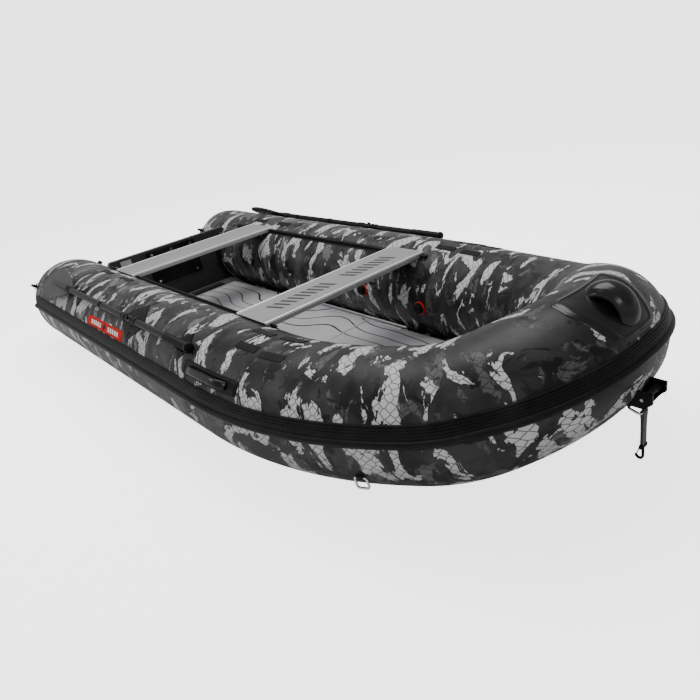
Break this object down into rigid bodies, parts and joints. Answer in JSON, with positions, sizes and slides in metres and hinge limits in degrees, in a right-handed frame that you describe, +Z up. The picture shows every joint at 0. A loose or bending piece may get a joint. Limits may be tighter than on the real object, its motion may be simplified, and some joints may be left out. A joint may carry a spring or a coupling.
{
  "type": "inflatable dinghy",
  "caption": "Inflatable dinghy with side tubes joined at a raised bow, a wooden transom, a sectional aluminium floor, sliding benches and stowed oars.",
  "frame": {"origin": "centre of the boat's footprint, on the plane the side tubes rest on", "axes": "+X towards the bow, +Y to port, +Z up"},
  "size_m": [3.6084, 1.6106, 0.6697],
  "materials": {
    "tube_fabric": "coated cloth, satin, dark camouflage",
    "cone_fabric": "coated cloth, satin, grey",
    "black_rubber": "moulded, satin",
    "black_patch": "coated cloth, satin black",
    "black_plastic": "moulded nylon, satin",
    "gloss_black": "moulded, glossy",
    "red_ring": "moulded, satin red",
    "badge": "printed cloth, red",
    "plywood": "sealed plywood, satin black",
    "plate": "blank plate, satin",
    "boards": "patterned sheet, satin",
    "aft_sheet": "dark grey, satin",
    "extrusion": "ribbed extrusion, satin",
    "bench_metal": "anodised, satin",
    "steel": "stainless, polished",
    "oar_tube": "anodised dark, satin",
    "oar_plastic": "moulded grey, satin",
    "webbing": "woven webbing",
    "hook_plastic": "moulded acetal"
  },
  "bodies": {
    "hull": {"starboard_tube": "tube_fabric", "port_tube": "tube_fabric", "bow_tube": "tube_fabric", "starboard_cone": "cone_fabric", "port_cone": "cone_fabric", "chamber_baffles": "tube_fabric", "starboard_strake": "black_rubber", "port_strake": "black_rubber", "keel_tube": "tube_fabric", "hull_bottom": "tube_fabric", "keel_guard": "black_rubber", "transom_board": "plywood", "motor_pads": "black_plastic", "transom_bolts": "steel", "transom_flanges": "black_rubber", "drain_socket": "black_plastic", "transom_plate": "plate", "aft_board": "aft_sheet", "floor_board_1": "boards", "floor_board_2": "boards", "floor_board_3": "boards", "bow_board": "boards", "floor_joiners": "extrusion", "floor_stringers": "extrusion", "starboard_seat_rail": "black_rubber", "port_seat_rail": "black_rubber", "bow_handle_patch": "black_rubber", "bow_handle": "gloss_black", "starboard_side_handle": "black_plastic", "port_side_handle": "black_plastic", "oarlock_bases": "black_plastic", "oarlock_pins": "black_plastic", "oar_keepers": "black_plastic", "strap_patches": "black_patch", "ring_patches": "black_patch", "bow_chock": "black_plastic", "chock_pin": "steel", "side_badges": "badge", "valve_bodies": "black_plastic", "valve_rings": "red_ring", "stern_eyes": "black_rubber"},
    "front_bench": {"front_bench": "bench_metal"},
    "rear_bench": {"rear_bench": "bench_metal"},
    "starboard_oar": {"starboard_oar_shaft": "oar_tube", "starboard_oar_grip": "black_plastic", "starboard_oar_blade": "oar_plastic"},
    "port_oar": {"port_oar_shaft": "oar_tube", "port_oar_grip": "black_plastic", "port_oar_blade": "oar_plastic"},
    "port_cap": {"port_valve_cap": "black_plastic"},
    "bow_cap": {"bow_valve_cap": "black_plastic"},
    "starboard_cap": {"starboard_valve_cap": "black_plastic"},
    "drain_plug": {"drain_plug": "black_rubber"},
    "roller": {"chock_roller": "black_plastic"},
    "starboard_ring": {"starboard_side_ring": "steel"},
    "port_ring": {"port_side_ring": "steel"},
    "bow_ring": {"bow_ring": "steel"},
    "bow_strap": {"bow_strap": "webbing", "snap_hook": "hook_plastic"},
    "hook_gate": {"hook_gate": "steel"}
  },
  "joints": [
    {"name": "front_bench_slide", "type": "slide", "parent": "hull", "child": "front_bench", "axis": [1, 0, 0], "range_m": [-0.45, 0.03]},
    {"name": "rear_bench_slide", "type": "slide", "parent": "hull", "child": "rear_bench", "axis": [1, 0, 0], "range_m": [-0.15, 0.4]},
    {"name": "starboard_oar_swing", "type": "hinge", "parent": "hull", "child": "starboard_oar", "pos_m": [-0.262, -0.71013, 0.44989], "axis": [0, -0.606, 0.7955], "range_deg": [0, 100]},
    {"name": "port_oar_swing", "type": "hinge", "parent": "hull", "child": "port_oar", "pos_m": [-0.262, 0.71013, 0.44989], "axis": [0, -0.606, -0.7955], "range_deg": [0, 100]},
    {"name": "port_cap_turn", "type": "hinge", "parent": "hull", "child": "port_cap", "pos_m": [0.1, 0.31132, 0.26619], "axis": [0, -0.9945, 0.1045], "range_deg": [0, 90]},
    {"name": "bow_cap_turn", "type": "hinge", "parent": "hull", "child": "bow_cap", "pos_m": [0.50904, 0.31077, 0.24171], "axis": [-0.0374, -0.9993, 0], "range_deg": [0, 90]},
    {"name": "starboard_cap_turn", "type": "hinge", "parent": "hull", "child": "starboard_cap", "pos_m": [0.1, -0.31132, 0.26619], "axis": [0, 0.9945, 0.1045], "range_deg": [0, 90]},
    {"name": "drain_plug_turn", "type": "hinge", "parent": "hull", "child": "drain_plug", "pos_m": [-1.4375, -0.235, 0.138], "axis": [-1, 0, 0], "range_deg": [0, 90]},
    {"name": "roller_turn", "type": "hinge", "parent": "hull", "child": "roller", "pos_m": [1.774, 0, 0.344], "axis": [0, 1, 0], "continuous": true},
    {"name": "starboard_ring_swing", "type": "hinge", "parent": "hull", "child": "starboard_ring", "pos_m": [1.17401, -0.65097, 0.19075], "axis": [-0.9485, -0.2903, -0.1269], "range_deg": [-5, 110]},
    {"name": "port_ring_swing", "type": "hinge", "parent": "hull", "child": "port_ring", "pos_m": [1.17401, 0.65097, 0.19075], "axis": [0.9485, -0.2903, 0.1269], "range_deg": [-5, 110]},
    {"name": "bow_ring_swing", "type": "hinge", "parent": "hull", "child": "bow_ring", "pos_m": [1.71803, 0, 0.28581], "axis": [0, 1, 0], "range_deg": [-20, 30]},
    {"name": "bow_strap_swing", "type": "hinge", "parent": "bow_ring", "child": "bow_strap", "pos_m": [1.75841, 0, 0.27423], "axis": [0, 1, 0], "range_deg": [-60, 30]},
    {"name": "hook_gate_open", "type": "hinge", "parent": "bow_strap", "child": "hook_gate", "pos_m": [1.74941, 0, 0.13583], "axis": [0, -1, 0], "range_deg": [0, 25], "stiffness_Nm_per_rad": 0.05}
  ]
}
